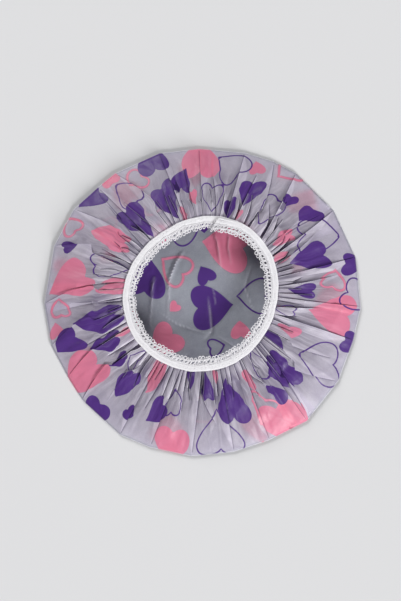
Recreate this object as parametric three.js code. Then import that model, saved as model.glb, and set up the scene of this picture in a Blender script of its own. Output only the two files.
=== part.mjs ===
// A lace-trimmed shower cap, lying open side up as it does on a shelf.
// Millimetres, +Z up. The origin is under the middle of the outline, on the surface the crown rests on.
import * as THREE from 'three';

// The film
const rimRadius = 140;
const rimLift = 2.2;
const crownInset = 8;
const filmThickness = 0.3;
const foldHeight = 4.6;
const gatherHeight = 2;
const hemWidth = 6;
const hemRipple = 0.5;

// The mouth, measured at the outer edge of the elastic
const mouthRadius = 68.5;
const mouthHeight = 21;
const mouthShiftX = -0.8;
const mouthShiftY = 7.5;

// The lace elastic: a close knitted heading over rubber cores, and an openwork edge
const tapeWidth = 5;
const tunnelWall = 0.2;
const groovePressIn = 0.25;
const coreDiameter = 0.5;
const coreClearance = 0.15;
const laceDepth = 7;
const laceThickness = 0.6;
const laceRepeatLength = 4.2;

// The seam
const threadDiameter = 0.35;
const stitchLength = 5.8;
const stitchSwing = 1.1;

// The gap that seated pieces keep
const seatGap = 0.3;

// Where the elastic's two ends lap, in degrees round the mouth
const lapStartAngle = 58;
const lapAngle = 25;
const lapRiseAngle = 14;
const lapRiseLeadAngle = 8;
const threadEndAngle = 1.5;

// Counts
const coreCount = 3;
const foldColumns = 3;
const gatherColumns = 6;
const ringSteps = 52;
const coreSides = 6;
const threadSides = 4;

// Corners of the outline where the main folds start: degrees, then share of the rim radius
const cornerShares = [
  [-1.5, 1.021], [16.5, 1.029], [35, 1.034], [54, 1.029], [63, 1.018], [74, 1.002],
  [91, 0.989], [106, 0.999], [124, 1.002], [132, 0.999], [144, 1.021], [159, 1.02],
  [180.5, 1.016], [196, 1.01], [209, 0.988], [219, 0.994], [238, 1.001], [250, 0.989],
  [266, 0.989], [282, 0.98], [296, 0.983], [311.5, 1.016], [330, 1.01], [346, 1.002],
];

// One main fold across its facet: place along the facet, then rise, a knife pleat that leans one way
const foldShares = [[0, 0], [0.3, 1], [0.65, 0.5], [1, 0]];

// Rows of the film's return from rim to mouth: way in, size of the main folds, size of the gathers
const returnShares = [
  { way: 0.1, fold: 0.4, gather: 0, columns: foldColumns },
  { way: 0.45, fold: 1, gather: 0, columns: foldColumns },
  { way: 0.85, fold: 0.45, gather: 1, columns: gatherColumns },
];
const roofCurveShare = 2.2;
const rimMitreShare = 2;

// One repeat of the openwork, in shares of its length and of the lace's depth
const laceCellShares = {
  edge: [[0, 0], [1, 0], [1, 0.62], [0.74, 1], [0.26, 1], [0, 0.62]],
  slot: [[0.24, 0.2], [0.5, 0.46], [0.76, 0.2]],
  picotEye: [[0.32, 0.72], [0.5, 0.9], [0.68, 0.72], [0.5, 0.58]],
};

// Sizes that follow from the ones above
const facets = cornerShares.length;
const fullTurnAngle = 360;
const tapeThickness = coreDiameter + 2 * (coreClearance + tunnelWall);
const tapeBottom = mouthHeight + hemRipple + seatGap;
const laceOuterRadius = mouthRadius - tapeWidth - seatGap;
const seamRadius = mouthRadius - tapeWidth / 2;
const lapEnd = lapStartAngle + fullTurnAngle + lapAngle;

// Height that the elastic climbs to lie over its own first end
function lapRise(degrees) {
  const riseEnd = lapStartAngle + fullTurnAngle - lapRiseLeadAngle;
  const climbed = THREE.MathUtils.smoothstep(degrees, riseEnd - lapRiseAngle, riseEnd);
  return climbed * (tapeThickness + seatGap);
}

function mouthPoint(degrees, radius, height) {
  const angle = THREE.MathUtils.degToRad(degrees);
  const x = mouthShiftX + radius * Math.cos(angle);
  const y = mouthShiftY + radius * Math.sin(angle);
  return new THREE.Vector3(x, y, height);
}

// Curve round the mouth that follows the lap, with an optional side-to-side swing for stitches
class MouthCurve extends THREE.Curve {
  constructor({ from, to, radius, height, laps = true, swing = 0, swings = 0 }) {
    super();
    Object.assign(this, { from, to, radius, height, laps, swing, swings });
  }

  getPoint(t, target = new THREE.Vector3()) {
    const degrees = THREE.MathUtils.lerp(this.from, this.to, t);
    const radius = this.radius + this.swing * Math.cos(2 * Math.PI * this.swings * t);
    const rise = this.laps ? lapRise(degrees) : 0;
    return target.copy(mouthPoint(degrees, radius, this.height + rise));
  }
}

// Section point of a strip extruded round the mouth: inward from the curve, and up
function sectionPoint(inward, up) {
  return new THREE.Vector2(-up, inward);
}

function sectionCircle(inward, up, radius, sides) {
  const points = [];
  for (let side = 0; side < sides; side += 1) {
    const angle = (2 * Math.PI * side) / sides;
    points.push(sectionPoint(inward + radius * Math.cos(angle), up + radius * Math.sin(angle)));
  }
  return points;
}

function extrudeRound(shape, curve, steps) {
  return new THREE.ExtrudeGeometry(shape, { steps, bevelEnabled: false, extrudePath: curve });
}

// Closed solid from an open surface: triangles face away from the offsets that give its thickness
function thicken(points, offsets, triangles) {
  const inner = points.map((point, index) => point.clone().add(offsets[index]));
  const positions = [...points, ...inner].flatMap((point) => point.toArray());
  const indices = [];
  const edges = new Map();
  for (const [a, b, c] of triangles) {
    indices.push(a, b, c, c + points.length, b + points.length, a + points.length);
    for (const [from, to] of [[a, b], [b, c], [c, a]]) edges.set(`${from} ${to}`, [from, to]);
  }
  for (const [from, to] of edges.values()) {
    if (edges.has(`${to} ${from}`)) continue;
    indices.push(to, from, from + points.length, to, from + points.length, to + points.length);
  }
  const geometry = new THREE.BufferGeometry();
  geometry.setAttribute('position', new THREE.Float32BufferAttribute(positions, 3));
  geometry.setIndex(indices);
  geometry.computeVertexNormals();
  return geometry;
}

// Triangles between two closed rows of points, one of which may have more columns
function bridgeRows(first, second) {
  const triangles = [];
  let a = 0;
  let b = 0;
  while (a < first.length || b < second.length) {
    const fromA = first[a % first.length];
    const fromB = second[b % second.length];
    if (b * first.length < a * second.length || a === first.length) {
      b += 1;
      triangles.push([fromA, second[b % second.length], fromB]);
    } else {
      a += 1;
      triangles.push([fromA, first[a % first.length], fromB]);
    }
  }
  return triangles;
}

// Corners of the outline, with the middle of their box on the origin's axis
function rimCorners(inset, height) {
  const corners = cornerShares.map(([degrees, share]) => {
    const angle = THREE.MathUtils.degToRad(degrees);
    const radius = rimRadius * share;
    return new THREE.Vector3(radius * Math.cos(angle), radius * Math.sin(angle), 0);
  });
  const middle = new THREE.Box3().setFromPoints(corners).getCenter(new THREE.Vector3());
  return corners.map((corner) => {
    const inward = corner.clone().setLength(inset);
    return corner.clone().sub(middle).sub(inward).setZ(height);
  });
}

// Rise of a main fold at a place along its facet
function foldRise(place) {
  const next = foldShares.findIndex(([end]) => end >= place && end > 0);
  const [fromPlace, fromRise] = foldShares[next - 1];
  const [toPlace, toRise] = foldShares[next];
  return THREE.MathUtils.mapLinear(place, fromPlace, toPlace, fromRise, toRise);
}

// Width of a facet against the mean: a wide facet gathers more film into its fold
function facetWidth(facet) {
  const start = cornerShares[facet][0];
  const end = cornerShares[(facet + 1) % facets][0];
  const turn = THREE.MathUtils.euclideanModulo(end - start, fullTurnAngle);
  return (turn * facets) / fullTurnAngle;
}

// Height of the film's return above the floor, steep at the rim and level at the mouth
function roofHeight(way) {
  return THREE.MathUtils.lerp(rimLift, mouthHeight, 1 - (1 - way) ** roofCurveShare);
}

// Places of a row's columns, counted in facets round the cap
function columnPlaces(columns) {
  const places = [];
  for (let facet = 0; facet < facets; facet += 1) {
    for (let column = 0; column < columns; column += 1) {
      const within = columns === foldColumns ? foldShares[column][0] : column / columns;
      places.push(facet + within);
    }
  }
  return places;
}

function returnRow({ way, fold, gather, columns }, rim) {
  return columnPlaces(columns).map((place, index) => {
    const facet = Math.floor(place);
    const within = place - facet;
    const onRim = rim[facet].clone().lerp(rim[(facet + 1) % facets], within);
    const degrees = cornerShares[0][0] + (fullTurnAngle * place) / facets;
    const point = onRim.lerp(mouthPoint(degrees, mouthRadius, 0), way);
    const crest = foldHeight * facetWidth(facet) * fold * (foldRise(within) - 1 / 2);
    const ruffle = gatherHeight * gather * (index % 2 === 0 ? -1 : 1);
    return point.setZ(roofHeight(way) + crest + ruffle);
  });
}

function hemRow(radius) {
  return columnPlaces(gatherColumns).map((place, index) => {
    const degrees = cornerShares[0][0] + (fullTurnAngle * place) / facets;
    const ripple = hemRipple * (index % 2 === 0 ? -1 : 1);
    return mouthPoint(degrees, radius, mouthHeight + ripple);
  });
}

// One disc of film: flat crown, rim, return with its main folds, gathers, and the hem under the tape
function filmCap() {
  const rim = rimCorners(0, rimLift);
  const up = new THREE.Vector3(0, 0, filmThickness);
  const down = new THREE.Vector3(0, 0, -filmThickness);
  const rows = [
    { points: [new THREE.Vector3(0, 0, 0)], offset: up },
    { points: rimCorners(crownInset, 0), offset: up },
    { points: rim, offset: null },
    ...returnShares.map((row) => ({ points: returnRow(row, rim), offset: down })),
    { points: hemRow(mouthRadius), offset: down },
    { points: hemRow(mouthRadius - hemWidth), offset: down },
  ];
  const points = [];
  const offsets = [];
  const triangles = [];
  let previous = null;
  for (const row of rows) {
    const current = row.points.map((point) => {
      const inward = new THREE.Vector3(-point.x, -point.y, 0).setLength(filmThickness * rimMitreShare);
      offsets.push(row.offset ?? inward);
      return points.push(point) - 1;
    });
    if (previous?.length === 1) {
      const [pole] = previous;
      current.forEach((index, i) => {
        triangles.push([index, pole, current[(i + 1) % current.length]]);
      });
    } else if (previous) {
      triangles.push(...bridgeRows(previous, current));
    }
    previous = current;
  }
  return thicken(points, offsets, triangles);
}

// Places of the rubber cores across the tape, from its outer edge inward
function corePlace(index) {
  return (tapeWidth * (index + 1 / 2)) / coreCount;
}

// The heading: a wale of knitting over each core, grooves between, and a tunnel for the core
function elasticTape() {
  const tunnelRadius = coreDiameter / 2 + coreClearance;
  const wale = tapeWidth / coreCount;
  const outline = [sectionPoint(0, 0), sectionPoint(0, tapeThickness - groovePressIn)];
  for (let index = 0; index < coreCount; index += 1) {
    const crestHalf = wale / 4;
    outline.push(sectionPoint(corePlace(index) - crestHalf, tapeThickness));
    outline.push(sectionPoint(corePlace(index) + crestHalf, tapeThickness));
    outline.push(sectionPoint(wale * (index + 1), tapeThickness - groovePressIn));
  }
  outline.push(sectionPoint(tapeWidth, 0));
  const shape = new THREE.Shape(outline);
  for (let index = 0; index < coreCount; index += 1) {
    const tunnel = sectionCircle(corePlace(index), tapeThickness / 2, tunnelRadius, coreSides);
    shape.holes.push(new THREE.Path(tunnel));
  }
  return extrudeRound(shape, tapeCurve(), ringSteps);
}

function tapeCurve() {
  return new MouthCurve({ from: lapStartAngle, to: lapEnd, radius: mouthRadius, height: tapeBottom });
}

function rubberCore(index) {
  const circle = sectionCircle(corePlace(index), tapeThickness / 2, coreDiameter / 2, coreSides);
  return extrudeRound(new THREE.Shape(circle), tapeCurve(), ringSteps);
}

// Triangles of one openwork cell, as indices into its outline and holes
function laceCellTriangles() {
  const loops = Object.values(laceCellShares);
  const flat = loops.flat();
  const [edge, ...holes] = loops.map((loop) => loop.map((place) => new THREE.Vector2(...place)));
  return THREE.ShapeUtils.triangulateShape(edge, holes).map(([a, b, c]) => {
    const turn = (flat[b][0] - flat[a][0]) * (flat[c][1] - flat[a][1])
      - (flat[b][1] - flat[a][1]) * (flat[c][0] - flat[a][0]);
    return turn > 0 ? [a, b, c] : [a, c, b];
  });
}

// The openwork edge: a row of slots and a row of picots with eyes, repeated along the whole elastic
function laceEdging() {
  const middleRadius = laceOuterRadius - laceDepth / 2;
  const length = middleRadius * THREE.MathUtils.degToRad(lapEnd - lapStartAngle);
  const cells = Math.round(length / laceRepeatLength);
  const cell = Object.values(laceCellShares).flat();
  const cellTriangles = laceCellTriangles();
  const top = tapeBottom + (tapeThickness + laceThickness) / 2;
  const points = [];
  const places = new Map();
  const triangles = [];
  const pointAt = (repeat, [along, across]) => {
    const key = `${(repeat + along).toFixed(4)} ${across}`;
    if (!places.has(key)) {
      const degrees = THREE.MathUtils.lerp(lapStartAngle, lapEnd, (repeat + along) / cells);
      const radius = laceOuterRadius - laceDepth * across;
      places.set(key, points.push(mouthPoint(degrees, radius, top + lapRise(degrees))) - 1);
    }
    return places.get(key);
  };
  for (let repeat = 0; repeat < cells; repeat += 1) {
    for (const corners of cellTriangles) {
      triangles.push(corners.map((corner) => pointAt(repeat, cell[corner])));
    }
  }
  const down = new THREE.Vector3(0, 0, -laceThickness);
  return thicken(points, points.map(() => down), triangles);
}

// A sewing thread that swings from side to side along the seam
function seamThread(from, to, height, laps) {
  const length = seamRadius * THREE.MathUtils.degToRad(to - from);
  const swings = Math.round(length / stitchLength);
  const steps = swings * 2;
  const curve = new MouthCurve({
    from, to, radius: seamRadius, height, laps, swing: stitchSwing, swings,
  });
  curve.arcLengthDivisions = steps * 4;
  const circle = sectionCircle(0, 0, threadDiameter / 2, threadSides);
  return extrudeRound(new THREE.Shape(circle), curve, steps);
}

// The needle thread lies on the tape, from the end that shows all the way round to it again
function needleThread() {
  const height = tapeBottom + tapeThickness + seatGap + threadDiameter / 2;
  return seamThread(lapEnd - fullTurnAngle + threadEndAngle, lapEnd - threadEndAngle, height, true);
}

// The bobbin thread lies under the hem
function bobbinThread() {
  const height = mouthHeight - hemRipple - filmThickness - seatGap - threadDiameter / 2;
  return seamThread(lapEnd - fullTurnAngle + threadEndAngle, lapEnd - threadEndAngle, height, false);
}

const finishes = {
  film: { color: 0xb9aecb, roughness: 0.35, metalness: 0 },
  knit: { color: 0xf4f1f2, roughness: 0.85, metalness: 0 },
  rubber: { color: 0xe8e2d2, roughness: 0.6, metalness: 0 },
  thread: { color: 0xfbf9fa, roughness: 0.55, metalness: 0 },
};

function piece(name, geometry, finish) {
  const mesh = new THREE.Mesh(geometry, new THREE.MeshStandardMaterial(finishes[finish]));
  mesh.name = name;
  return mesh;
}

const showerCap = new THREE.Group();
showerCap.add(piece('film_cap', filmCap(), 'film'));
showerCap.add(piece('elastic_tape', elasticTape(), 'knit'));
for (let index = 0; index < coreCount; index += 1) {
  showerCap.add(piece(`rubber_core_${index + 1}`, rubberCore(index), 'rubber'));
}
showerCap.add(piece('lace_edging', laceEdging(), 'knit'));
showerCap.add(piece('needle_thread', needleThread(), 'thread'));
showerCap.add(piece('bobbin_thread', bobbinThread(), 'thread'));

export default showerCap;
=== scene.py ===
"""A lace-trimmed shower cap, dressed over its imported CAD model. Metres, +Z up."""

from math import cos, pi, radians, sin, tau

import bpy
import numpy as np
from bpy.props import FloatProperty, FloatVectorProperty, IntProperty, PointerProperty
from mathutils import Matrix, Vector


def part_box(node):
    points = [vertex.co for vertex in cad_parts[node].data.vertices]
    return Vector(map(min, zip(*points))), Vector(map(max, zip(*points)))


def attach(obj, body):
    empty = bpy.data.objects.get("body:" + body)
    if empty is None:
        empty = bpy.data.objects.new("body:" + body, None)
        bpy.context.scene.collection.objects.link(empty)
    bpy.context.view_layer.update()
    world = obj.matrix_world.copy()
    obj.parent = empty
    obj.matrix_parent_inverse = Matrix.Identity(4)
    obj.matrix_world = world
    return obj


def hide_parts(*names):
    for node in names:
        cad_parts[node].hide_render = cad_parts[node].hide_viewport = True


bl_info = {
    "name": "Shower cap",
    "version": (1, 0, 0),
    "blender": (4, 5, 0),
    "location": "View3D > Sidebar > Shower cap",
    "description": "Pleated film, lace elastic and seam over the packed shower cap",
    "category": "Object",
}

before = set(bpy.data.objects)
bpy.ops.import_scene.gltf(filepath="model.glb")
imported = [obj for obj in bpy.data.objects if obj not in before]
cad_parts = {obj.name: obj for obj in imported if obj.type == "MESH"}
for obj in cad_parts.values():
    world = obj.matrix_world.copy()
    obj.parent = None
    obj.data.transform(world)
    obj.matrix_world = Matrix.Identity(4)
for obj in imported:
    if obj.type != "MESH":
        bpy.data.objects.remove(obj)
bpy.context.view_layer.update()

MM = 0.001

# The elastic, as the CAD model has it
TAPE_WIDTH = 5 * MM
LACE_DEPTH = 7 * MM
SEAT_GAP = 0.3 * MM
CORE_COUNT = 3

# The lap of the elastic, in degrees round the mouth, as the CAD model has it
LAP_START = 58.0
LAP_ANGLE = 25.0
LAP_END = LAP_START + 360 + LAP_ANGLE
LAP_RISE_ANGLE = 14.0
LAP_RISE_END = LAP_START + 360 - 8
THREAD_END_ANGLE = 1.5

# How far the elastic's upper end has slipped inward, and over how many degrees
LAP_DRIFT_ANGLE = 32.0
LAP_DRIFT = 2.1 * MM

# The slanted cut of that end: how far back its outer edge is cut, and over what length
LAP_CUT = 6 * MM
LAP_CUT_REACH = 15 * MM

# How the gathered mouth departs from a circle, and how unevenly the elastic lies on it
MOUTH_OVAL = 2.7 * MM
MOUTH_LOBES = 1.0 * MM
RING_WAVE_COUNTS = (5, 9, 14, 23, 31)
RING_WAVE_INWARD = 0.35 * MM
RING_WAVE_UP = 0.12 * MM
INWARD_SEED, UP_SEED = 3, 8

# The film's return: how its height grows from the rim to the mouth, and its hem
ROOF_CURVE = 2.2
RING_START = radians(-1.5)
HEM_WIDTH = 7 * MM
HEM_RIPPLE = 0.5 * MM
FILM_SEED = 11

# Where the CAD film's rim is looked for: share of its reach, heights, and degrees between two corners
RIM_REACH = 0.93
RIM_BAND = (1 * MM, 3.5 * MM)
CORNERS_APART = 2


def smooth(value):
    """Smooth step from 0 to 1, held outside."""
    value = np.clip(value, 0, 1)
    return value * value * (3 - 2 * value)


def stretch(way, ends):
    """Smooth step over a stretch of the way."""
    start, end = ends
    return smooth((way - start) / (end - start))


def lerp(start, end, share):
    return start + (end - start) * share


def running(steps):
    """Running total of steps, from 0."""
    return np.concatenate([[0], np.cumsum(steps)])


def spokes(angle):
    """Unit vectors of the plan at angles in radians."""
    return np.stack([np.cos(angle), np.sin(angle)], -1)


def node_points(node):
    """Vertices of a CAD node as an array."""
    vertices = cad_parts[node].data.vertices
    points = np.empty(len(vertices) * 3)
    vertices.foreach_get("co", points)
    return points.reshape(-1, 3)


def outline_corners():
    """Corners of the film's outline, counter-clockwise from the one nearest +X, and their height."""
    points = node_points("film_cap")
    reach, height = np.hypot(points[:, 0], points[:, 1]), points[:, 2]
    low, high = RIM_BAND
    rim = points[(reach > RIM_REACH * reach.max()) & (height > low) & (height < high)]
    angle = np.degrees(np.arctan2(rim[:, 1], rim[:, 0])) % 360
    rim = rim[np.argsort(angle)]
    angle = np.sort(angle)
    groups = np.split(rim, np.flatnonzero(np.diff(angle) > CORNERS_APART) + 1)
    corners = np.array([group[np.argmax(np.hypot(group[:, 0], group[:, 1]))] for group in groups])
    turn = np.degrees(np.arctan2(corners[:, 1], corners[:, 0]))
    return np.roll(corners, -int(np.argmin(np.abs(turn))), axis=0)


CORNERS = outline_corners()
FACETS = len(CORNERS)
RIM_HEIGHT = float(CORNERS[:, 2].mean())
TAPE_LOW, TAPE_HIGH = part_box("elastic_tape")
MOUTH_CENTRE = np.array([(TAPE_LOW.x + TAPE_HIGH.x) / 2, (TAPE_LOW.y + TAPE_HIGH.y) / 2])
MOUTH_RADIUS = float(np.hypot(*(node_points("elastic_tape")[:, :2] - MOUTH_CENTRE).T).max())
TAPE_THICKNESS = (TAPE_HIGH.z - TAPE_LOW.z - SEAT_GAP) / 2
MOUTH_HEIGHT = TAPE_LOW.z - (HEM_RIPPLE + SEAT_GAP)
RING_LENGTH = (MOUTH_RADIUS - TAPE_WIDTH - SEAT_GAP - LACE_DEPTH / 2) * radians(LAP_END - LAP_START)


def mouth_drift(turn):
    """How far the mouth lies out from its circle, at an angle in radians: oval, with three low lobes."""
    return MOUTH_OVAL * np.sin(2 * turn) - MOUTH_LOBES * np.cos(3 * turn)


def lap_rise(angle):
    """Height that the elastic climbs, at an angle in degrees, to lie over its own first end."""
    rise = stretch(angle, (LAP_RISE_END - LAP_RISE_ANGLE, LAP_RISE_END))
    return rise * (TAPE_THICKNESS + SEAT_GAP)


def outline_point(place):
    """Point of the outline at a place counted in facets."""
    place = place % FACETS
    corner = np.floor(place).astype(int) % FACETS
    share = (place - np.floor(place))[..., None]
    return lerp(CORNERS[corner, :2], CORNERS[(corner + 1) % FACETS, :2], share)


def plan_point(place, way, hem=0.0):
    """Plan of the return at a place, on the way from the rim (0) to the mouth (1) and its hem."""
    angle = RING_START + tau * place / FACETS
    radius = (MOUTH_RADIUS - HEM_WIDTH * hem + mouth_drift(angle))[..., None]
    return lerp(outline_point(place), MOUTH_CENTRE + radius * spokes(angle), way)


def roof_height(way):
    return lerp(RIM_HEIGHT, MOUTH_HEIGHT, 1 - (1 - way) ** ROOF_CURVE)


def ring_wave(angle, seed):
    """Uneven lie of the elastic round the mouth, about -1 to 1."""
    rng = np.random.default_rng(seed)
    turn = np.radians(angle)
    wave = np.zeros_like(turn)
    for count in RING_WAVE_COUNTS:
        wave += np.sin(count * turn + rng.uniform(0, tau)) * rng.uniform(0.2, 0.5)
    return wave


def crumple(points, seed, wave, count=14):
    """Soft and creased waves of about -1 to 1 over plan points."""
    rng = np.random.default_rng(seed)
    height = np.zeros(len(points))
    for index in range(count):
        turn, phase = rng.uniform(0, pi), rng.uniform(0, tau)
        length = wave * rng.uniform(0.6, 1.9)
        step = points @ np.array([cos(turn), sin(turn)]) * tau / length + phase
        swirl = points @ np.array([-sin(turn), cos(turn)]) * tau / (length * 2.7)
        step = step + 1.1 * np.sin(swirl + 2 * phase)
        height += np.sin(step) if index % 2 else 1 - 2 * np.abs(np.sin(step / 2))
    return height / (0.5 * count) ** 0.5 / 2


def wrinkles(places, way, count=16):
    """Drawn wrinkles that run from the rim to the mouth, of about -1 to 1, at places in facets."""
    rng = np.random.default_rng(FILM_SEED + 3)
    height = np.zeros(len(places))
    for index in range(count):
        waves = int(rng.integers(30, 150))
        lean, phase = rng.uniform(-0.5, 0.5), rng.uniform(0, tau)
        centre, reach = rng.uniform(0.2, 1.0), rng.uniform(0.25, 0.6)
        gate = 0.5 + 0.5 * np.sin(int(rng.integers(2, 9)) * tau * places / FACETS + rng.uniform(0, tau))
        step = tau * waves * (places + lean * (1 - way)) / FACETS + phase
        ridge = 1 - 2 * np.abs(np.sin(step / 2)) ** 0.8 if index % 2 else np.sin(step)
        height += gate * np.exp(-(((way - centre) / reach) ** 2)) * ridge * (60 / waves) ** 0.7
    return height / (0.2 * count)


# Long creases of the crown: the places that each runs through in millimetres, then its height
CROWN_CREASES = [
    (((-43, 24), (-45, 16), (-47, -18), (-45, -26)), 1.7),
    (((-16, 48), (-24, 36), (-30, 20), (-31, -18)), 2.0),
    (((5, 6), (7, -10), (8.5, -26), (1, -35)), 1.8),
    (((9, 13), (10.5, 8), (12, -3)), 1.2),
    (((10, 62), (13, 55), (17, 30)), 1.8),
    (((24, 62), (23, 50), (26, 34)), 1.6),
    (((44, 34), (38, 14), (46, -8)), 1.2),
    (((-40, -8), (-22, -20), (4, -28)), 0.9),
    (((14, -30), (32, -42), (52, -34)), 1.1),
    (((-12, -46), (-24, -58), (-50, -70)), 1.4),
    (((58, 20), (74, 26), (98, 22)), 1.5),
    (((-60, 40), (-78, 52), (-96, 50)), 1.5),
    (((20, -66), (26, -84), (18, -104)), 1.4),
    (((-8, 78), (-14, 96), (-6, 112)), 1.4),
    (((-70, -20), (-92, -26), (-112, -18)), 1.3),
    (((62, -40), (82, -54), (90, -72)), 1.4),
]
CREASE_WIDTH = 2.6 * MM
CREASE_STEPS = 12
# Width of the painted highlight along a crease, for each millimetre of its height
CREASE_HIGHLIGHT_WIDTH = 1.1 * MM


def crown_creases(plan):
    """Height of the crown's creases, crisp ridges that die out at both ends, and the share of a painted
    highlight along each.
    """
    height, rubbed = np.zeros(len(plan)), np.zeros(len(plan))
    for places, rise in CROWN_CREASES:
        line = np.array(places, float) * MM
        steps = np.linspace(0, len(line) - 1, CREASE_STEPS * len(line))
        path = np.column_stack([np.interp(steps, np.arange(len(line)), line[:, k]) for k in (0, 1)])
        path = np.vstack([path[:1], (path[:-2] + path[1:-1] + path[2:]) / 3, path[-1:]])
        apart, along = np.ones(len(plan)), np.zeros(len(plan))
        for index, step in enumerate(np.diff(path, axis=0)):
            share = np.clip((plan - path[index]) @ step / (step @ step), 0, 1)
            distance = np.linalg.norm(plan - path[index] - share[:, None] * step, axis=1)
            along = np.where(distance < apart, (index + share) / (len(path) - 1), along)
            apart = np.minimum(apart, distance)
        swell = np.sin(pi * np.clip(along, 0, 1)) ** 0.6
        ridge = np.clip(1 - apart / CREASE_WIDTH, 0, 1) ** 1.3
        height = np.maximum(height, rise * MM * ridge * swell)
        rubbed = np.maximum(rubbed, np.clip(1 - apart / (rise * CREASE_HIGHLIGHT_WIDTH), 0, 1) ** 1.5 * swell)
    return height, rubbed


def add_map(mesh, name, places):
    """UV map in metres from each vertex's place on a flat pattern."""
    corners = np.empty(len(mesh.loops), int)
    mesh.loops.foreach_get("vertex_index", corners)
    layer = mesh.uv_layers.new(name=name)
    layer.data.foreach_set("uv", places[corners].astype(np.float32).ravel())


def add_values(mesh, name, values):
    """One value at each vertex, for the material."""
    attribute = mesh.attributes.new(name, "FLOAT", "POINT")
    attribute.data.foreach_set("value", values.astype(np.float32))


def mesh_piece(name, points, faces, material, stands_for, sharp=60.0):
    """A mesh object that stands for CAD nodes and rides on the body."""
    mesh = bpy.data.meshes.new(name)
    mesh.from_pydata(points.tolist(), [], faces)
    mesh.shade_smooth()
    mesh.set_sharp_from_angle(angle=radians(sharp))
    mesh.materials.append(material)
    piece = bpy.data.objects.new(name, mesh)
    bpy.context.scene.collection.objects.link(piece)
    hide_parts(*stands_for)
    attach(piece, "root")
    return piece


# Ranges that the pleats are drawn from. Places and leans are counted in facets of the outline, ways from
# rim (0) to mouth (1), and depths against their setting.
MAIN_SHIFT, MAIN_PEAK, MAIN_DEPTH = (-0.09, 0.09), (0.5, 0.7), (0.7, 1.1)
BRANCH_SHIFT, BRANCH_DEPTH = (-0.22, 0.22), (0.8, 1.15)
# Start, lean, depth and peak of a fold that branches off, then start, lean and peak of a plain gather
BRANCH_RANGES = ((0.06, 0.62), (-0.42, 0.42), (0.7, 1.3), (0.74, 0.84))
GATHER_RANGES = ((0.5, 0.8), (-0.06, 0.06), (0.86, 0.94))
RING_DEPTH, BOW = (0.75, 1.2), (-0.05, 0.16)
LEANS_ONE_WAY = 0.6
BRANCH_LIMITS = (2, 5)
WIDTH_LIMITS = (0.6, 1.25)

# How far before its start a pleat takes room from its neighbours, how many of them, and how much it fills
WAKES_BEFORE = 0.14
NEIGHBOURS = 6
ROOM_FILLED = 0.85
HEM_PRESS = 0.5

# Stretches of the way from rim to mouth over which folds rise, the hem presses them, and panels bow
RISE_SHIFTS = (0.6, 0.85)
HEM_PRESSES = (0.93, 1.0)
BOW_GROWS, BOW_ENDS = (0.0, 0.2), (0.4, 0.7)


class Pleats:
    """Every pleat of the film's return: a line where it turns back, and how far it turns back.

    A place is counted in facets of the outline. A fold opens at `start`, on the way from rim to
    mouth, is deepest at `peak_at`, and is one of the ring's gathers where it meets the elastic.
    """

    def __init__(self, settings):
        rng = np.random.default_rng(FILM_SEED)
        lengths = np.hypot(*(np.roll(CORNERS, -1, axis=0) - CORNERS)[:, :2].T)
        shares = lengths / lengths.mean()
        rows = []
        for facet, share in enumerate(shares):
            reach = settings.main_fold * np.clip((share + shares[facet - 1]) / 2, *WIDTH_LIMITS)
            ring = facet + rng.uniform(*MAIN_SHIFT)
            rows.append((ring, facet - ring, 0, rng.uniform(*MAIN_PEAK), reach * rng.uniform(*MAIN_DEPTH)))
            branches = int(np.clip(round(settings.branches * share), *BRANCH_LIMITS))
            for branch in range(branches):
                ring = facet + (branch + 1 + rng.uniform(*BRANCH_SHIFT)) / (branches + 1)
                centre = abs(branch - (branches - 1) / 2) < 0.75
                if centre and (branches % 2 == 1 or branch * 2 < branches):
                    start, lean, deeper, peak_at = (rng.uniform(*ends) for ends in BRANCH_RANGES)
                    deep = settings.branch_fold * deeper
                else:
                    start, lean, peak_at = (rng.uniform(*ends) for ends in GATHER_RANGES)
                    deep = settings.gather
                rows.append((ring, lean, start, peak_at, deep * rng.uniform(*BRANCH_DEPTH)))
        self.ring, self.lean, self.start, self.peak_at, self.peak = np.array(rows).T
        self.count = len(rows)
        self.ring_depth = settings.gather * rng.uniform(*RING_DEPTH, self.count)
        self.over = np.where(rng.random(self.count) < LEANS_ONE_WAY, 1.0, -1.0)
        self.bow = rng.uniform(*BOW, self.count)
        self.tone = rng.uniform(-1, 1, self.count)
        self.settings = settings

    def places(self, way):
        """Where each pleat turns back, in facets."""
        return self.ring + self.lean * np.minimum(1, (1 - way) / (1 - self.start))

    def depths(self, way, along, length):
        """Depth of each pleat in metres, held below the room between it and the pleat before."""
        rise = np.clip((way - self.start) / (self.peak_at - self.start), 0, 1)
        rise = rise * (1.5 - 0.5 * rise**2)
        fall = smooth((way - self.peak_at) / (1 - self.peak_at))
        wanted = rise * lerp(self.peak, self.ring_depth, fall)
        awake = smooth((way - self.start + WAKES_BEFORE) / WAKES_BEFORE)
        awake[self.start == 0] = 1
        room = np.zeros(self.count)
        left = np.ones(self.count)
        for back in range(1, NEIGHBOURS + 1):
            before = (along - np.roll(along, back)) % length
            share = left * np.roll(awake, back)
            room += share * before
            left -= share
        room += left * length / FACETS
        return np.minimum(wanted, ROOM_FILLED * room)

    def heights(self, way, depth):
        """Half the height of each pleat in metres."""
        rise = lerp(self.settings.fold_rise, self.settings.gather_rise, stretch(way, RISE_SHIFTS))
        height = np.minimum(rise * depth, self.settings.fold_height) / 2
        return height * (1 - stretch(way, HEM_PRESSES) * (1 - HEM_PRESS))

    def bows(self, way, span, depth, height):
        """How far each panel bows up or down between its folds, inside the room over them."""
        lapped = np.clip(np.maximum(depth, np.roll(depth, 1)) / span, 0.05, 0.5)
        room = 1.4 * np.minimum(height, np.roll(height, 1)) * (1 - lapped) / np.sin(pi * lapped) ** 2
        free = 0.05 * span * stretch(way, BOW_GROWS) * (1 - stretch(way, BOW_ENDS))
        return np.clip(self.bow * span, -room, np.maximum(room, free))


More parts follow.
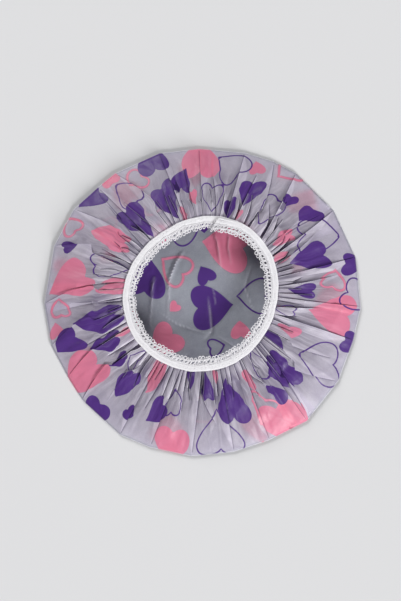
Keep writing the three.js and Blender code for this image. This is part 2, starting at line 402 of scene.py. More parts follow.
# Stretches of the way from rim to mouth over which the drawn waves and the milky rim change
WRINKLES_GROW, WRINKLES_END = (0.0, 0.06), (0.86, 0.98)
RIM_MILK_ENDS = (0.0, 0.6)
TURNS_OVER = 0.03

# How much milkier the return is near the rim, where it lies close on the crown
RIM_MILK = 1.35

# Columns of a panel between two folds, columns back under a fold, and steps of a facet when measuring
FORWARD = (0, 0.06, 0.18, 0.34, 0.5, 0.66, 0.82, 0.94)
BACKWARD = (0.16, 0.84)
GRID_STEPS = 24

# Rows of the return on the way from rim to mouth, and rows of the hem
RETURN_ROWS = (0, 0.004, 0.012, 0.025, *np.linspace(0.045, 0.78, 26), *np.linspace(0.8, 1, 13))
HEM_ROWS = (0.15, 0.4, 0.7, 1.0)

# Rings of the crown as shares of the rim's reach, and how many columns one has above a share
CROWN_RINGS = (0.995, 0.985, 0.965, 0.94, *np.arange(0.92, 0.46, -0.022), *np.arange(0.46, 0.012, -0.0105))
CROWN_COLUMNS = ((0.3, 480), (0.14, 240), (0.06, 120), (0, 48))
CROWN_EDGE = 0.94
CROWN_LIFT = 0.15 * MM

# Share of the film under an overlap that counts for its length, and overlaps of an open, a full and a
# closed fold
HIDDEN = 0.12
OPEN_FOLD = 0.6 * MM
FULL_FOLD = 2.5 * MM
CLOSED_FOLD = 0.02 * MM

# Lengths of the soft waves in the return and the crown
RETURN_WAVE = 24 * MM
CROWN_WAVE = 46 * MM

# Values that each point of the film carries for its material, with the value of flat open film:
# metres to the nearest fold, metres inside a lapped strip, metres out from under a fold, the
# panel's own tone, the strength of a crease's painted highlight, and whether it is the return
FAR = 10 * MM
FILM_VALUES = {
    "fold_lines": FAR, "lapped": -FAR, "tucked": FAR, "panel": 0.0, "rubbed": 0.0, "turned_over": 0.0,
}


class Film:
    """The film's mesh: points, their places on the flat disc, and faces."""

    def __init__(self, settings):
        self.settings = settings
        self.points, self.flat, self.faces = [], [], []
        self.values = {name: [] for name in FILM_VALUES}
        self.count = 0
        self.pleats = Pleats(settings)
        self.return_rows()
        self.return_count = self.count
        self.crown_rows()
        self.points = np.concatenate(self.points)
        self.flat = np.concatenate(self.flat)
        self.values = {name: np.concatenate(parts) for name, parts in self.values.items()}

    def add(self, points, flat, values):
        """Add points with their values, where a value that isn't given has its resting value."""
        self.points.append(points)
        self.flat.append(flat)
        for name, rest in FILM_VALUES.items():
            self.values[name].append(np.broadcast_to(values.get(name, rest), len(points)))
        first = self.count
        self.count += len(points)
        return np.arange(first, self.count)

    def row(self, way, hem):
        """One ring of the return: points, shares of film up to each, values, and closed pleats."""
        pleats = self.pleats
        grid = np.linspace(-1, FACETS + 1, (FACETS + 2) * GRID_STEPS + 1)
        metres = running(np.hypot(*np.diff(plan_point(grid, way, hem), axis=0).T))
        metres -= np.interp(0, grid, metres)
        length = np.interp(FACETS, grid, metres)
        turn_back = np.interp(pleats.places(way), grid, metres)
        depth = pleats.depths(way, turn_back, length)
        turn_on = turn_back - depth
        height = pleats.heights(way, depth)
        level_back, level_on = height * pleats.over, -height * pleats.over
        before = np.roll(turn_on, 1)
        before[0] -= length
        span = turn_back - before
        bow = pleats.bows(way, span, depth, height) * (1 - hem)
        depth_before, over_before = np.roll(depth, 1), np.roll(pleats.over, 1) > 0
        shallower = np.minimum(depth, depth_before)
        covered = over_before & (depth_before > OPEN_FOLD)
        covers = (pleats.over < 0) & (depth > OPEN_FOLD)
        panel = pleats.tone * np.clip(shallower / FULL_FOLD, 0, 1)
        panel = panel + RIM_MILK * (1 - stretch(way, RIM_MILK_ENDS))

        def film_to(place):
            """Length of film from the fold before to a place on the panel, less what lies hidden."""
            under = np.where(over_before, np.minimum(place - before, depth_before), 0)
            over = np.where(pleats.over < 0, np.maximum(place - turn_on, 0), 0)
            return place - before - (1 - HIDDEN) * (under + over)

        # Columns by place, level, length of film, distance to a fold, to a lap, to a tuck, and panel's tone
        columns = []
        for share in FORWARD:
            place = before + span * share
            columns.append((
                place,
                lerp(np.roll(level_on, 1), level_back, share) + bow * np.sin(pi * share) ** 2,
                film_to(place),
                np.minimum(place - before, turn_back - place),
                np.maximum(place - turn_on, before + depth_before - place),
                np.minimum(
                    np.where(covered, place - before - depth_before, FAR),
                    np.where(covers, turn_on - place, FAR),
                ),
                panel,
            ))
        film_back = film_to(turn_back)
        under = np.where(covers, -depth, FAR)
        columns.append((turn_back, level_back, film_back, np.zeros(pleats.count), depth, under, panel))
        for share in BACKWARD:
            columns.append((
                turn_back - depth * share,
                lerp(level_back, level_on, share),
                film_back + HIDDEN * depth * share,
                depth * min(share, 1 - share),
                depth,
                np.where(depth > OPEN_FOLD, -depth, FAR),
                lerp(panel, np.roll(panel, -1), share),
            ))
        along, level, film, fold, lapped, tucked, panel = (np.array(parts).T for parts in zip(*columns))
        start = running(film_back + HIDDEN * depth)
        walked = (film + start[:-1, None]).ravel() / start[-1]
        fold = np.where(shallower[:, None] > OPEN_FOLD, fold, FAR)
        places = np.interp(along.ravel(), metres, grid)
        plan = plan_point(places, way, hem)
        drawn = stretch(way, WRINKLES_GROW) * (1 - stretch(way, WRINKLES_END))
        height = roof_height(way) + level.ravel()
        height = height + self.settings.crumple * drawn * crumple(plan, FILM_SEED, RETURN_WAVE)
        height = height + self.settings.wrinkle * drawn * wrinkles(places, way)
        values = {
            "fold_lines": fold.ravel(), "lapped": lapped.ravel(), "tucked": tucked.ravel(),
            "panel": panel.ravel(), "turned_over": np.full(fold.size, min(1.0, way / TURNS_OVER)),
        }
        return np.column_stack([plan, height]), walked, values, depth < CLOSED_FOLD

    def return_rows(self):
        """The return from the rim to the mouth, and the hem."""
        rim, rim_walked, _, _ = self.row(0, 0)
        reach, turn = np.hypot(rim[:, 0], rim[:, 1]), np.arctan2(rim[:, 1], rim[:, 0])
        mean_reach = reach.mean()
        depth, last = 0.0, (mean_reach, RIM_HEIGHT)
        outer = None
        for way, hem in [(way, 0) for way in RETURN_ROWS] + [(1, hem) for hem in HEM_ROWS]:
            points, walked, values, closed = self.row(way, hem)
            here = (lerp(mean_reach, MOUTH_RADIUS - HEM_WIDTH * hem, way), roof_height(way))
            depth += np.hypot(here[0] - last[0], here[1] - last[1])
            last = here
            flat = (reach + depth)[:, None] * spokes(turn + tau * (walked - rim_walked))
            own = np.ones((len(closed), len(points) // len(closed)), bool)
            own[closed, -len(BACKWARD):] = False
            own[1:, 0] = ~closed[:-1]
            own = own.ravel()
            values["fold_lines"] = np.minimum(values["fold_lines"], (mean_reach - MOUTH_RADIUS) * way)
            first = self.add(points[own], flat[own], {name: part[own] for name, part in values.items()})[0]
            row = first + np.cumsum(own) - 1
            if closed[-1]:
                row[-len(BACKWARD) - 1:] = row[0]
            if outer is None:
                self.rim_indices = row
            else:
                self.bridge(outer, row)
            outer = row

    def bridge(self, outer, inner):
        """Faces between two rows of the return, without the ones that a closed pleat flattens."""
        quads = np.column_stack([outer, np.roll(outer, -1), np.roll(inner, -1), inner])
        for quad in quads.tolist():
            face = [v for n, v in enumerate(quad) if v != quad[n - 1]]
            if len(face) > 2:
                self.faces.append(face)

    def on_return(self, x, y):
        """Place on the flat disc of the top layer of the return over a place of the plan."""
        near = np.hypot(self.points[:, 0] - x * MM, self.points[:, 1] - y * MM)
        near = near - TOP_LAYER * self.points[:, 2]
        near[self.return_count:] = 1
        return self.flat[np.argmin(near)]

    def crown_rows(self):
        """The crown: rings inside the rim, with fewer columns towards the middle."""
        _, first = np.unique(self.rim_indices, return_index=True)
        ring = self.rim_indices[np.sort(first)]
        rim = np.concatenate(self.points)[ring]
        turns = np.unwrap(np.arctan2(rim[:, 1], rim[:, 0]))
        outline = outline_point(np.linspace(0, FACETS, FACETS * GRID_STEPS + 1))
        outline_turns, reach = np.unwrap(np.arctan2(*outline.T[::-1])), np.hypot(*outline.T)
        for share in CROWN_RINGS:
            count = next(columns for low, columns in CROWN_COLUMNS if share > low)
            angle = turns[0] + tau * np.arange(count) / count
            wrapped = (angle - outline_turns[0]) % tau + outline_turns[0]
            plan = (np.interp(wrapped, outline_turns, reach) * share)[:, None] * spokes(angle)
            soft = crumple(plan, FILM_SEED + 5, CROWN_WAVE)
            creases, rubbed = crown_creases(plan)
            lift = self.settings.crown_crumple * (0.5 + 0.5 * np.clip(soft, -1, 1)) + creases
            edge = stretch(share, (CROWN_EDGE, 1))
            height = lerp(CROWN_LIFT + lift, RIM_HEIGHT * edge**0.5, edge)
            values = {"fold_lines": np.full(count, (1 - share) * reach.mean()), "rubbed": rubbed}
            row = self.add(np.column_stack([plan, height]), plan, values)
            self.join(ring, turns, row, angle)
            ring, turns = row, angle
        middle = self.add(np.array([[0, 0, 2 * CROWN_LIFT]]), np.zeros((1, 2)), {})[0]
        for here, after in zip(ring.tolist(), np.roll(ring, -1).tolist()):
            self.faces.append([int(middle), after, here])

    def join(self, outer, outer_angles, inner, inner_angles):
        """Triangles between two rings with different numbers of points."""
        a = b = 0
        outer_all = np.append(outer_angles, outer_angles[0] + tau)
        inner_all = np.append(inner_angles, inner_angles[0] + tau)
        while a < len(outer) or b < len(inner):
            if b == len(inner) or (a < len(outer) and outer_all[a + 1] <= inner_all[b + 1]):
                corner = (outer[a], inner[b % len(inner)], outer[(a + 1) % len(outer)])
                a += 1
            else:
                corner = (outer[a % len(outer)], inner[b], inner[(b + 1) % len(inner)])
                b += 1
            self.faces.append([int(v) for v in corner])


# Plain hearts of the crown, by kind of print: centre and width in mm, and where the tip points
CROWN_HEARTS = {
    "purple_hearts": [
        (9.5, -3.8, 40.5, 6), (2.2, 25.6, 18, 118), (-49.8, 22.6, 37, 78), (-41, -64, 26, 40),
        (1, 70, 17, 275),
    ],
    "pink_hearts": [
        (20.5, 51.5, 47, 170), (-25.8, -4.6, 11, 225), (-34.6, -36, 31.5, 225), (34, -24, 18, 95),
        (-38, 64, 18, 150), (92, 90, 30, 60), (-119, 30, 26, 30), (-108, -58, 32, 200),
        (-30, -112, 30, 80), (52, -112, 34, 280), (112, -2, 34, 200), (-70, 100, 28, 130),
    ],
    "purple_lines": [(45.8, 5.8, 32, 180), (-15, 73.5, 38, 30), (13, -40, 15.4, 15), (70, 66, 40, 200)],
    "pink_lines": [(-25.5, 31.2, 28.5, 143), (-66, -16, 20, 60)],
}

# The same for the hearts seen on the return, from above
RETURN_HEARTS = {
    "purple_hearts": [
        (-46, 128, 29, 105), (-18, 109, 24, 80), (-31, 89, 38, 300), (-58, 69, 38, 312),
        (-101, 94, 24, 225), (-118, 51, 14, 5), (-95, -18, 44, 190), (-122, -37, 27, 215),
        (-87, -37, 29, 195), (-74, -52, 19, 215), (-70, -73, 29, 235), (-65, -100, 14, 315),
        (-41, -99, 24, 215), (-97, -99, 24, 225), (25, -87, 40, 95), (3, -73, 24, 90),
        (-11, -67, 20, 270), (72, -60, 33, 215), (69, -82, 18, 40),
        (63, -33, 22, 310), (88, 11, 23, 180), (94, 39, 36, 200), (135, 34, 20, 0), (135, -37, 19, 340),
        (76, 90, 16, 262), (41, 96, 29, 258), (94, 77, 21, 235), (24, 83, 22, 270),
    ],
    "pink_hearts": [
        (-3, 131, 40, 90), (49, 122, 15, 90), (-84, 59, 36, 160), (-119, 21, 40, 200), (-82, 12, 27, 180),
        (-107, -64, 44, 225), (-43, -67, 30, 235), (-28, -128, 32, 255), (76, -111, 42, 300),
        (115, -9, 40, 175), (78, -25, 19, 270), (70, 57, 22, 210), (-84, 112, 16, 120), (41, -66, 18, 70),
        (-9, 92, 15, 290), (-16, 78, 15, 10), (70, 41, 16, 20), (-71, -26, 16, 200), (-132, -25, 14, 100),
        (12, -66, 12, 270), (31, 77, 12, 250),
    ],
    "purple_lines": [
        (26, 122, 33, 130), (-68, 99, 28, 135), (8, 91, 30, 262), (58, 82, 32, 235), (106, 60, 39, 12),
        (-81, 31, 34, 350), (104, -54, 39, 172), (15, -117, 41, 92), (-26, -89, 23, 80), (140, 4, 28, 330),
        (72, -6, 18, 180), (51, -55, 28, 120), (-60, -51, 20, 130),
    ],
    "pink_lines": [
        (-117, 70, 17, 120), (118, 19, 20, 90), (55, -97, 29, 250), (-60, 110, 20, 225), (77, 118, 22, 210),
        (-128, -4, 16, 90),
    ],
}

# How much larger a heart of the return is printed than it shows between the folds, and how far the
# height of a layer counts when the top one over a place is looked for
RETURN_SWELL = 1.16
TOP_LAYER = 0.6

# Hearts strewn over the rest of the crown: tries, room between them, the band they lie in, and widths,
# all in millimetres
FILL_TRIES = 500
FILL_ROOM = 4
FILL_INNER = 62
FILL_REACH = 118
FILL_OVERHANG = 8
FILL_WIDTHS = {
    "purple_hearts": (13, 22, 36), "pink_lines": (17, 24, 28), "pink_hearts": (14, 24, 40),
    "purple_lines": (16, 28, 42),
}

# The heart's edge: across squared plus (up share times up, less the lobe) squared is one
HEART_UP = 1.26
HEART_LOBE = 0.8
HEART_POWER = 0.66
HEART_MIDDLE = 0.145
LEAST_ACROSS, LEAST_SLOPE = 0.04, 0.5

# A distance that stands for no heart near
NO_HEART = 0.1


def filled_crown():
    """The crown's hearts, and more of them strewn where the crown is still bare."""
    rng = np.random.default_rng(FILM_SEED)
    layers = {kind: list(hearts) for kind, hearts in CROWN_HEARTS.items()}
    kinds = list(FILL_WIDTHS)
    turn = 0
    for _ in range(FILL_TRIES):
        x, y = rng.uniform(-FILL_REACH, FILL_REACH, 2)
        kind = kinds[turn % len(kinds)]
        width = FILL_WIDTHS[kind][int(rng.integers(len(FILL_WIDTHS[kind])))]
        tip = rng.uniform(0, 360)
        if not FILL_INNER + width / 2 <= np.hypot(x, y) <= FILL_REACH + FILL_OVERHANG - width / 2:
            continue
        others = [heart for hearts in layers.values() for heart in hearts]
        if all(np.hypot(x - a, y - b) > (width + other) / 2 + FILL_ROOM for a, b, other, _ in others):
            layers[kind].append((x, y, width, tip))
            turn += 1
    return layers


def turned_over(film, hearts):
    """Hearts seen on the return from above, moved to their places on the flat disc."""
    placed = []
    for x, y, width, tip in hearts:
        flat = film.on_return(x, y)
        angle = np.degrees(np.arctan2(y, x) + np.arctan2(flat[1], flat[0]))
        placed.append((*(flat / MM), width * RETURN_SWELL, angle + 180 - tip))
    return placed


def heart_distance(flat, hearts):
    """Signed distance in metres from places on the flat film to the nearest heart's edge."""
    nearest = np.full(len(flat), NO_HEART)
    for x, y, width, tip in hearts:
        scale = width * MM / 2
        offset = flat - np.array([x, y]) * MM
        turn = -radians(tip + 90)
        across = np.abs(offset @ np.array([cos(turn), -sin(turn)])) / scale
        up = offset @ np.array([sin(turn), cos(turn)]) / scale + HEART_MIDDLE
        lobe = HEART_LOBE * across**HEART_POWER
        tall = HEART_UP * up - lobe
        value = across**2 + tall**2 - 1
        bend = HEART_POWER * lobe / np.maximum(across, LEAST_ACROSS)
        slope = 2 * np.hypot(across - tall * bend, HEART_UP * tall)
        nearest = np.minimum(nearest, value / np.maximum(slope, LEAST_SLOPE) * scale)
    return nearest


# The part of its range that a noise mostly fills
NOISE_RANGE = (0.3, 0.7)


class Nodes:
    """Adds linked nodes to a new material. An input goes by its name, or by i and its number."""

    def __init__(self, name):
        self.material = bpy.data.materials.new(name)
        self.material.use_nodes = True
        self.tree = self.material.node_tree
        self.tree.nodes.clear()
        self.output = self.tree.nodes.new("ShaderNodeOutputMaterial")

    def add(self, kind, settings=None, **inputs):
        node = self.tree.nodes.new("ShaderNode" + kind)
        for name, value in (settings or {}).items():
            setattr(node, name, value)
        for name, value in inputs.items():
            key = int(name[1:]) if name[0] == "i" and name[1:].isdigit() else name.replace("_", " ")
            if isinstance(value, bpy.types.NodeSocket):
                self.tree.links.new(value, node.inputs[key])
            else:
                node.inputs[key].default_value = value
        return node

    def uv(self, name):
        return self.add("UVMap", {"uv_map": name}).outputs[0]

    def vector(self, operation, **inputs):
        return self.add("VectorMath", {"operation": operation}, **inputs)

    def noise(self, place, scale, detail=2.0, roughness=0.5):
        node = self.add("TexNoise", Vector=place, Scale=scale, Detail=detail, Roughness=roughness)
        return node.outputs["Fac"]

    def math(self, operation, first, second=0.0):
        return self.add("Math", {"operation": operation}, i0=first, i1=second).outputs[0]

    def times(self, first, second):
        return self.math("MULTIPLY", first, second)

    def weigh(self, *parts):
        """Sum of values, each times its weight."""
        total, *others = (self.times(value, weight) for value, weight in parts)
        for other in others:
            total = self.math("ADD", total, other)
        return total

    def ramp(self, value, low, high, to_low=0.0, to_high=1.0, kind="LINEAR"):
        node = self.add(
            "MapRange", {"interpolation_type": kind}, Value=value, From_Min=low, From_Max=high,
            To_Min=to_low, To_Max=to_high,
        )
        return node.outputs[0]

    def spread(self, noise, low=0.0, high=1.0):
        """The range that a noise mostly has, taken from low to high."""
        return self.ramp(noise, *NOISE_RANGE, low, high)

    def blend(self, share, first, second, kind="MIX"):
        """Mix of two colours, each a socket or three numbers."""
        sockets = bpy.types.NodeSocket
        first, second = (tone if isinstance(tone, sockets) else (*tone, 1.0) for tone in (first, second))
        node = self.add("Mix", {"data_type": "RGBA", "blend_type": kind}, i0=share, i6=first, i7=second)
        return node.outputs[2]

    def bump(self, height, strength, distance):
        return self.add("Bump", Strength=strength, Distance=distance, Height=height).outputs[0]

    def face(self, tone, rough, bump, **more):
        return self.add("BsdfPrincipled", Base_Color=tone, Roughness=rough, Normal=bump, **more).outputs[0]

    def cover(self, share, under, over):
        return self.add("MixShader", i0=share, i1=under, i2=over).outputs[0]

    def finish(self, shader):
        self.tree.links.new(shader, self.output.inputs["Surface"])
        return self.material


# The soft edges of the ink
INK_EDGE = 0.12 * MM
PURPLE_SOFT = 0.2 * MM
PINK_SOFT = 1.1 * MM
GHOST_SOFT = 3 * MM

# Drawn streaks of the film: how fine they are round the disc and outward, and where on it they fade in
STREAKS = 38.0
STREAKS_OUTWARD = 22.0
STREAK_BAND = (0.155, 0.205)

# Distances over which the film's layers and painted light show: a fold's edge with its painted highlight,
# a lapped strip, film that comes out from under a fold in painted shade, the painted shadow on it, and
# the roll of light over a fold
FOLD_EDGE_BAND = (0.75 * MM, 0.15 * MM)
LAPPED_BAND = (0.0, 1.5 * MM)
TUCKED_BAND = (1.3 * MM, 0.0)
SHADOW_BAND = (2.8 * MM, 0.4 * MM)
ROLL_BAND = (-1.6 * MM, 2.4 * MM)

# Colours of lapped film and painted highlights, of painted sheen, of film in painted shade or on a darker
# panel, of the rubber, and of the sewing thread with painted shade between its plies
PALE_FILM, PAINTED_SHEEN_FILM, DARK_FILM = (0.95, 0.91, 0.99), (0.93, 0.9, 0.96), (0.2, 0.17, 0.27)
LATEX, CHALKY_LATEX = (0.78, 0.72, 0.58), (0.86, 0.81, 0.7)
THREAD, THREAD_SHADE = (0.93, 0.92, 0.94), (0.74, 0.72, 0.77)

# Twist and roughness of the yarns
LACE_TWIST, LACE_ROUGH = 900.0, 0.8
THREAD_TWIST, THREAD_ROUGH = 2200.0, 0.55


def film_material(settings):
    """Frosted film with printed hearts: see-through haze, denser ink, and creases."""
    nodes = Nodes("frosted_film")
    flat = nodes.uv("flat")

    def layer(name):
        return nodes.add("Attribute", {"attribute_name": name}).outputs["Fac"]

    def printed(name, stroke, soft):
        """Ink of one colour: its solid hearts and its outlines."""
        solid = nodes.ramp(layer(name + "_hearts"), INK_EDGE, -INK_EDGE)
        edge = nodes.math("ABSOLUTE", layer(name + "_lines"))
        return nodes.math("MAXIMUM", solid, nodes.ramp(edge, (stroke + soft) / 2, (stroke - soft) / 2))

    def creased(squeeze, turn, scale, width):
        """Crisp ridges between cells that are squeezed and turned."""
        place = nodes.add("Mapping", Vector=flat, Scale=squeeze, Rotation=(0, 0, turn)).outputs[0]
        cells = nodes.add("TexVoronoi", {"feature": "DISTANCE_TO_EDGE"}, Vector=place, Scale=scale)
        return nodes.ramp(cells.outputs["Distance"], 0.0, width, 1.0, 0.0)

    purple = printed("purple", settings.stroke, PURPLE_SOFT)
    pink = printed("pink", settings.pink_stroke, PINK_SOFT)
    # Painted highlight along the edge of each fold, where the film also lies doubled and thicker
    fold_edge_and_highlight = nodes.ramp(layer("fold_lines"), *FOLD_EDGE_BAND)
    lapped = nodes.ramp(layer("lapped"), *LAPPED_BAND)
    # Painted shade where the film comes out from under a fold, but not on the fold's edge
    tucked = nodes.ramp(layer("tucked"), *TUCKED_BAND)
    tucked = nodes.times(tucked, nodes.math("SUBTRACT", 1.0, fold_edge_and_highlight))
    panel, turned = layer("panel"), layer("turned_over")
    cloud = nodes.noise(flat, 34.0, 4.0, 0.6)
    speck = nodes.noise(flat, 900.0)
    haze = nodes.times(nodes.spread(cloud, 0.82, 1.08), nodes.spread(speck, 0.95, 1.05))

    # Fine streaks that the elastic draws in the film, along its spokes, with painted highlights and shade
    reach = nodes.vector("LENGTH", i0=flat).outputs["Value"]
    spoke = nodes.vector("NORMALIZE", i0=flat).outputs[0]
    spoke = nodes.vector("SCALE", i0=spoke, Scale=STREAKS).outputs[0]
    outward = nodes.add("CombineXYZ", Z=nodes.times(reach, STREAKS_OUTWARD)).outputs[0]
    streak = nodes.noise(nodes.vector("ADD", i0=spoke, i1=outward).outputs[0], 1.0, 3.0, 0.62)
    gathered = nodes.times(turned, nodes.ramp(reach, *STREAK_BAND, settings.streak_rim, 1.0))
    # Painted highlight on the streaks' ridges, and painted shade between them
    lit = nodes.times(nodes.ramp(streak, 0.5, 0.7), gathered)
    between_streaks_shade = nodes.times(nodes.ramp(streak, 0.5, 0.32), gathered)

    # Colour: tint, the layer behind, lapped strips and painted highlights, ink, painted sheen, and painted
    # shade
    tint = nodes.blend(nodes.ramp(cloud, 0.35, 0.65), settings.tint, settings.tint_deep)
    tint = nodes.blend(turned, nodes.blend(1.0, tint, settings.crown_tint, "MULTIPLY"), tint)
    for name, ink in (("pink", settings.pink), ("purple", settings.purple)):
        behind = layer(name + "_hearts_behind")
        tint = nodes.blend(nodes.ramp(behind, GHOST_SOFT, -GHOST_SOFT, 0.0, settings.ghost), tint, ink)
    pale = nodes.weigh((fold_edge_and_highlight, 0.65), (lapped, 0.2), (lit, 0.5))
    tint = nodes.blend(pale, tint, PALE_FILM)
    shade = nodes.blend(purple, nodes.blend(pink, tint, settings.pink), settings.purple)
    # Painted highlight along the crown's creases
    rubbed = nodes.times(layer("rubbed"), nodes.ramp(cloud, 0.35, 0.6, 0.4, 1.0))
    # Painted sheen on fold edges, crown creases and streak ridges
    painted_sheen = nodes.weigh((fold_edge_and_highlight, 0.3), (rubbed, 0.5), (lit, 0.07))
    shade = nodes.blend(painted_sheen, shade, PAINTED_SHEEN_FILM)
    # Painted shadow on that film, in the gathers
    shadow = nodes.times(nodes.ramp(layer("tucked"), *SHADOW_BAND), gathered)
    dark = nodes.weigh(
        (nodes.ramp(panel, -1.0, 0.0, 0.36, 0.0), 1.0), (tucked, settings.tuck_shade),
        (between_streaks_shade, settings.streak_shade), (shadow, 0.26),
    )
    shade = nodes.blend(dark, shade, nodes.blend(1.0, shade, DARK_FILM, "MULTIPLY"))

    # Relief: two sizes of creases, ripples, light that rolls off a fold, and the streaks
    roll = (-settings.roundness, settings.roundness, "SMOOTHERSTEP")
    coarse = creased((1.0, 0.55, 1.0), 0.5, 44.0, 0.16)
    fine = creased((0.5, 1.0, 1.0), 1.3, 95.0, 0.2)
    ripple = nodes.noise(flat, 150.0, 5.0, 0.55)
    rounded = nodes.ramp(layer("fold_lines"), *ROLL_BAND, *roll)
    height = nodes.weigh((coarse, 1.0), (fine, 0.4), (ripple, 0.9), (rounded, 1.0), (streak, gathered))
    bump = nodes.bump(height, 0.55, 0.5 * MM)

    # How solid the film is: haze and its thicker places, or ink
    face = nodes.face(shade, nodes.spread(cloud, 0.38, 0.5), bump, IOR=1.49)
    glow = nodes.add("BsdfTranslucent", Color=shade, Normal=bump).outputs[0]
    clear = nodes.add("BsdfTransparent", Color=(*settings.clear, 1.0)).outputs[0]
    solid = nodes.weigh(
        (haze, settings.haze), (fold_edge_and_highlight, 0.3), (lapped, 0.16), (panel, 0.14), (rubbed, 0.4), (lit, 0.3)
    )
    inked = nodes.times(nodes.math("MAXIMUM", purple, pink), settings.ink_density)
    solid = nodes.math("MAXIMUM", solid, inked)
    return nodes.finish(nodes.cover(solid, clear, nodes.cover(0.32, face, glow)))


def yarn_material(name, base, shade, twist, roughness):
    """Spun yarn: plies that twist round the strand, and slightly uneven colour."""
    nodes = Nodes(name)
    along = nodes.uv("strand")
    ply = nodes.add(
        "TexWave", {"bands_direction": "DIAGONAL"}, Vector=along, Scale=twist, Distortion=1.2,
        Detail=2.0, Detail_Scale=2.0,
    ).outputs["Fac"]
    fuzz = nodes.noise(along, twist * 3, 3.0)
    # Painted shade between the plies, and a little more of it at random from the fuzz
    tone = nodes.blend(nodes.ramp(ply, 0.0, 0.6), shade, base)
    tone = nodes.blend(nodes.ramp(fuzz, 0.35, 0.75, 0.0, 0.25), tone, shade)
    bump = nodes.bump(nodes.weigh((ply, 1.0), (fuzz, 0.4)), 0.5, 0.1 * MM)
    rough = nodes.spread(fuzz, roughness - 0.07, roughness + 0.07)
    return nodes.finish(nodes.face(tone, rough, bump, Sheen_Weight=0.25, Sheen_Roughness=0.5))


def knit_material(settings):
    """Close warp knit: rows of small slanted stitches along each wale."""
    nodes = Nodes("close_knit")
    along = nodes.uv("strand")
    split = nodes.add("SeparateXYZ", Vector=along).outputs
    within = nodes.math("PINGPONG", nodes.times(split["Y"], 1 / settings.wale), 0.5)
    course = nodes.weigh((split["X"], 1 / settings.course), (within, 0.9))
    stitch = nodes.ramp(nodes.math("PINGPONG", course, 0.5), 0.02, 0.36)
    loop = nodes.times(stitch, nodes.ramp(within, 0.0, 0.09))
    fuzz = nodes.noise(along, 2600.0, 3.0)
    # Painted shade between the stitches
    tone = nodes.blend(nodes.ramp(loop, 0.0, 0.5), settings.knit_shade, settings.knit)
    bump = nodes.bump(nodes.weigh((loop, 1.0), (fuzz, 0.35)), 0.7, 0.12 * MM)
    rough = nodes.spread(fuzz, 0.7, 0.88)
    return nodes.finish(nodes.face(tone, rough, bump, Sheen_Weight=0.3, Sheen_Roughness=0.5))


def rubber_material():
    """Latex strand with a chalky bloom."""
    nodes = Nodes("latex")
    bloom = nodes.noise(nodes.add("TexCoord").outputs["Object"], 700.0, 4.0)
    tone = nodes.blend(nodes.spread(bloom), LATEX, CHALKY_LATEX)
    bump = nodes.bump(bloom, 0.3, 0.03 * MM)
    return nodes.finish(nodes.face(tone, nodes.spread(bloom, 0.5, 0.7), bump))


class Strip:
    """Tubes and bands laid along a straight strip, then bent round the mouth.

    On the strip, x runs along the elastic, y inward from its outer edge and z up from its underside.
    """

    def __init__(self):
        self.points, self.faces, self.strand = [], [], []
        self.count = 0

    def tube(self, path, radius, sides):
        """A round strand along a path of strip points."""
        radius = np.broadcast_to(radius, len(path))
        step = np.gradient(path, axis=0)
        step /= np.linalg.norm(step, axis=1)[:, None]
        side = np.cross(step, [0, 0, 1])
        side /= np.maximum(np.linalg.norm(side, axis=1), 1e-9)[:, None]
        up = np.cross(side, step)
        angle = tau * np.arange(sides) / sides
        ring = np.cos(angle)[:, None] * side[:, None] + np.sin(angle)[:, None] * up[:, None]
        walked = running(np.linalg.norm(np.diff(path, axis=0), axis=1))
        strand = np.stack(np.broadcast_arrays(walked[:, None], angle * radius[:, None]), -1)
        self.grid(path[:, None] + radius[:, None, None] * ring, strand)

    def grid(self, points, strand):
        """Rows of points that close round the strand and over its ends."""
        rows, sides = points.shape[:2]
        self.points.append(points.reshape(-1, 3))
        self.strand.append(strand.reshape(-1, 2))
        index = self.count + np.arange(rows * sides).reshape(rows, sides)
        self.count += rows * sides
        around = np.roll(index, -1, axis=1)
        quads = np.stack([index[:-1], around[:-1], around[1:], index[1:]], -1).reshape(-1, 4)
        self.faces += quads.tolist()
        self.faces += [index[0][::-1].tolist(), index[-1].tolist()]

    def bend(self, laps):
        """Points of the strip bent round the mouth."""
        along, inward, height = np.concatenate(self.points).T
        outer = np.clip(1 - inward / (TAPE_WIDTH + SEAT_GAP + LACE_DEPTH), 0, 1)
        cut = LAP_CUT * outer * smooth((along - RING_LENGTH) / LAP_CUT_REACH + 1)
        angle = LAP_START + (LAP_END - LAP_START) * (along - cut) / RING_LENGTH
        turn = np.radians(angle)
        radius = MOUTH_RADIUS - inward + ring_wave(angle, INWARD_SEED) * RING_WAVE_INWARD
        radius -= stretch(angle, (LAP_END - LAP_DRIFT_ANGLE, LAP_END)) * LAP_DRIFT
        radius += mouth_drift(turn)
        height = TAPE_LOW.z + height + ring_wave(angle, UP_SEED) * RING_WAVE_UP
        if laps:
            height = height + lap_rise(angle)
        return np.column_stack([MOUTH_CENTRE + radius[:, None] * spokes(turn), height])

    def piece(self, name, material, slot, stands_for, laps=True, sharp=60.0):
        made = mesh_piece(name, self.bend(laps), self.faces, material, stands_for, sharp)
        add_map(made.data, "strand", np.concatenate(self.strand))


# The heading's rounded section: rows along it, columns across it, how round it is, and how deep the
# grooves between its wales are above and below
HEADING_STEP = 0.55 * MM
HEADING_COLUMNS = 17
WALE_POWER, EDGE_POWER = 0.7, 0.3
WALE_GROOVE, UNDER_GROOVE = 0.28, 0.2


